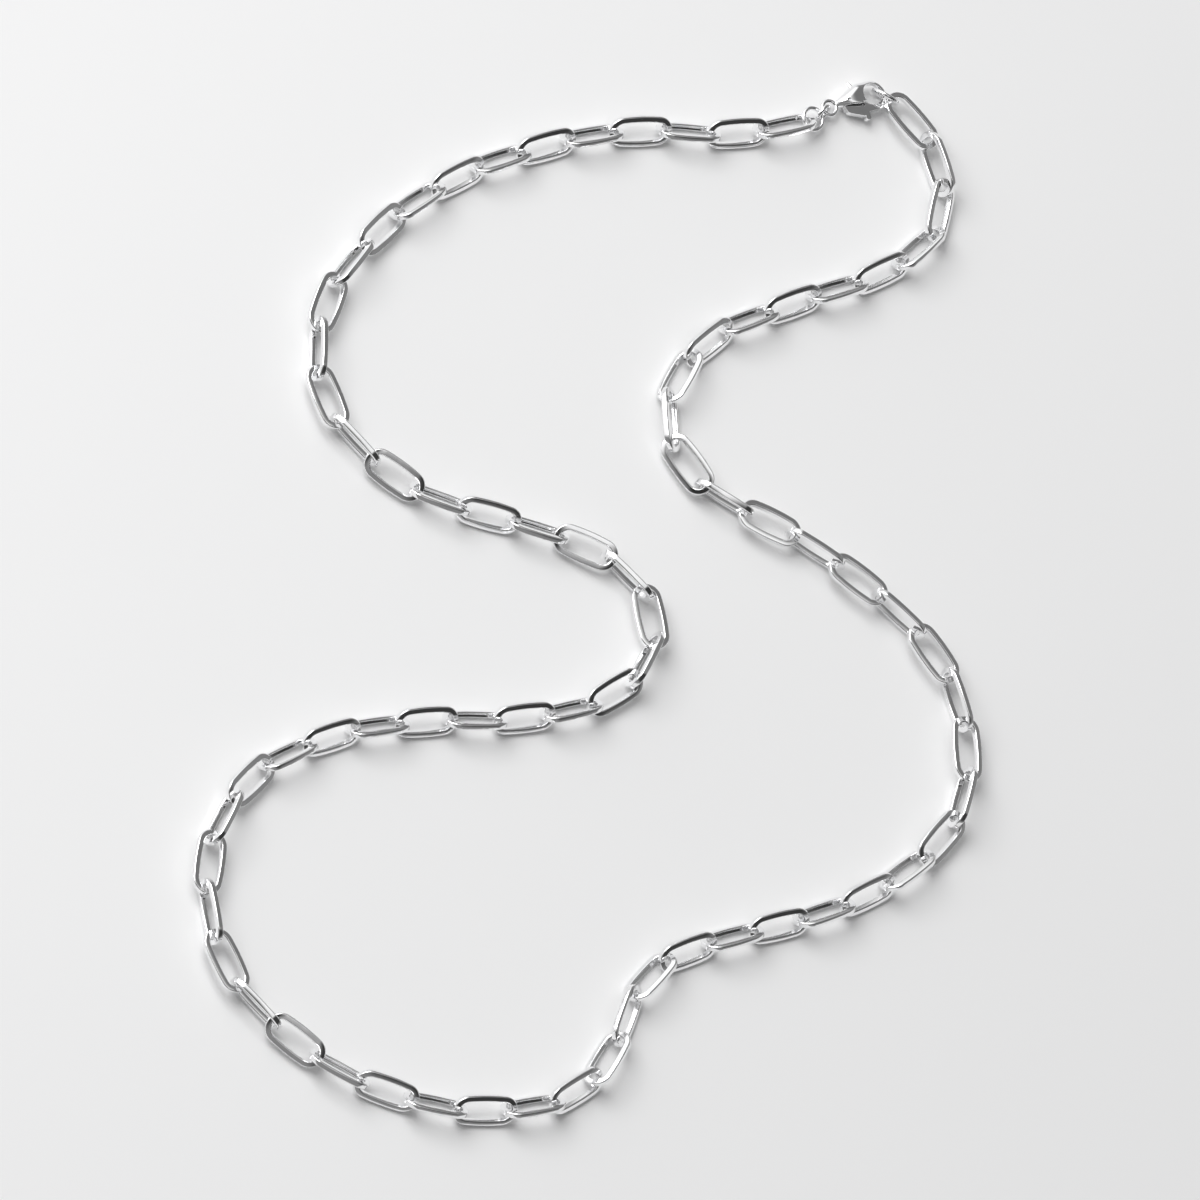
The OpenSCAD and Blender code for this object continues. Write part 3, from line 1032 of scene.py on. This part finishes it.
@dataclass
class Studio:
    """A plain pale floor, soft light from the upper left, and the camera at the photograph's angle.

    Its lengths are in metres, apart from those that say otherwise.
    """

    aim_mm: tuple[float, float, float] = (4.13, -0.32, 0.0)
    up: tuple[float, float, float] = (-0.066, 0.945, 0.321)
    back: tuple[float, float, float] = (-0.383, -0.321, 0.866)
    view_width_mm: float = 176.64
    sensor_mm: float = 36.0
    distance: float = 7.5
    clip: tuple[float, float] = (1.0, 60.0)
    floor_half: float = 4.0
    floor_cells: int = 8
    floor_drop: float = 0.00002
    key_way: tuple[float, float, float] = (-0.5, 0.42, 0.76)
    key_distance: float = 1.0
    key_power: float = 6.6
    key_size: float = 0.8
    surroundings: float = 0.23
    glows: tuple[Glow, ...] = (
        Glow((0.0, 0.0, 1.0), 22.0, 48.0, 0.95),
        Glow((-0.6, 0.6, 0.5), 28.0, 58.0, 1.15),
        Glow((0.48, 0.42, 0.77), 16.0, 34.0, 0.18),
        Glow((0.45, -0.62, 0.64), 22.0, 40.0, 0.04),
        Glow((-0.383, -0.321, 0.866), 10.0, 24.0, 0.03),
    )

    def floor(self) -> bpy.types.Object:
        """Makes the floor.

        Returns:
            The floor.
        """
        half, cells = self.floor_half, self.floor_cells
        row = cells + 1
        stops = [2 * half / cells * i - half for i in range(row)]
        points = [(x, y, -self.floor_drop) for y in stops for x in stops]
        faces = [
            (j * row + i, j * row + i + 1, (j + 1) * row + i + 1, (j + 1) * row + i)
            for j in range(cells)
            for i in range(cells)
        ]
        ground = solid("floor", points, faces)
        ground.data.materials.append(PaperFinish().material())
        return ground

    def light(self) -> None:
        """Sets the soft key light and the studio's surroundings."""
        lamp = bpy.data.lights.new("key", "AREA")
        lamp.shape, lamp.size, lamp.energy = "DISK", self.key_size, self.key_power
        key = bpy.data.objects.new("key", lamp)
        way = Vector(self.key_way).normalized()
        key.location = way * self.key_distance
        key.rotation_euler = way.to_track_quat("Z", "Y").to_euler()
        bpy.context.scene.collection.objects.link(key)

        world = bpy.data.worlds.new("studio")
        world.use_nodes = True
        bpy.context.scene.world = world
        nodes, links = world.node_tree.nodes, world.node_tree.links
        place = nodes.new("ShaderNodeTexCoord")
        level: bpy.types.NodeSocket | None = None
        for glow in self.glows:
            dot = nodes.new("ShaderNodeVectorMath")
            dot.operation = "DOT_PRODUCT"
            dot.inputs[1].default_value = Vector(glow.way).normalized()
            links.new(place.outputs["Generated"], dot.inputs[0])
            ramp = nodes.new("ShaderNodeMapRange")
            ramp.interpolation_type = "SMOOTHSTEP"
            ramp.inputs["From Min"].default_value = math.cos(math.radians(glow.outer_deg))
            ramp.inputs["From Max"].default_value = math.cos(math.radians(glow.inner_deg))
            links.new(dot.outputs["Value"], ramp.inputs["Value"])
            mix = nodes.new("ShaderNodeMix")
            mix.data_type = "FLOAT"
            if level is None:
                mix.inputs["A"].default_value = self.surroundings
            else:
                links.new(level, mix.inputs["A"])
            mix.inputs["B"].default_value = glow.level
            links.new(ramp.outputs["Result"], mix.inputs["Factor"])
            level = mix.outputs["Result"]
        links.new(level, nodes["Background"].inputs["Strength"])
        nodes["Background"].inputs["Color"].default_value = (1.0, 1.0, 1.0, 1.0)

    def camera(self) -> bpy.types.Object:
        """Sets the camera: a long lens, looking down from the lower left.

        Returns:
            The camera.
        """
        data = bpy.data.cameras.new("camera")
        data.sensor_width = self.sensor_mm
        data.lens = data.sensor_width * self.distance / (self.view_width_mm * MM)
        data.clip_start, data.clip_end = self.clip
        made = bpy.data.objects.new("camera", data)
        back = Vector(self.back).normalized()
        right = Vector(self.up).cross(back).normalized()
        up = back.cross(right)
        turn = Matrix((right, up, back)).transposed().to_4x4()
        made.matrix_world = Matrix.Translation(Vector(self.aim_mm) * MM + back * self.distance) @ turn
        bpy.context.scene.collection.objects.link(made)
        bpy.context.scene.camera = made
        return made


# ---------------------------------------------------------------- building


def main() -> None:
    """Builds the necklace and its studio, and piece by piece."""
    logging.basicConfig(level=logging.INFO, format="%(name)s: %(message)s")
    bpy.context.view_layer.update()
    bpy.context.scene.view_settings.view_transform = "Standard"
    Chain(SilverFinish("chain_silver")).halves()
    small = SilverFinish("ring_silver", roughness=0.08, wave_mm=1.2, wave_depth_mm=0.004)
    Ring("ring_by_chain", small, middle_radius=1.65, wire_radius=0.3).build()
    Ring("ring_by_eye", small, middle_radius=1.3, wire_radius=0.3, gap_deg=40.0).build()
    Ring("hook_ring", small, middle_radius=1.99, wire_radius=0.35, gap_deg=150.0, steps=120).build()
    dark = (0.78, 0.785, 0.8)
    clasp = Clasp(
        SilverFinish("cast_silver", roughness=0.07, roughness_spread=0.03, wave_mm=2.6, wave_depth_mm=0.006),
        SilverFinish("lever_silver", roughness=0.08, roughness_spread=0.03, wave_mm=1.4, wave_depth_mm=0.003),
        SilverFinish("pin_silver", shade=dark, roughness=0.14, wave_mm=0.8, wave_depth_mm=0.001),
    )
    clasp.body()
    clasp.lever_piece()
    clasp.pin_piece()
    studio = Studio()
    studio.floor()
    studio.light()
    studio.camera()
    LOG.info("studio: floor, light and camera are set")


if __name__ == "__main__":
    main()
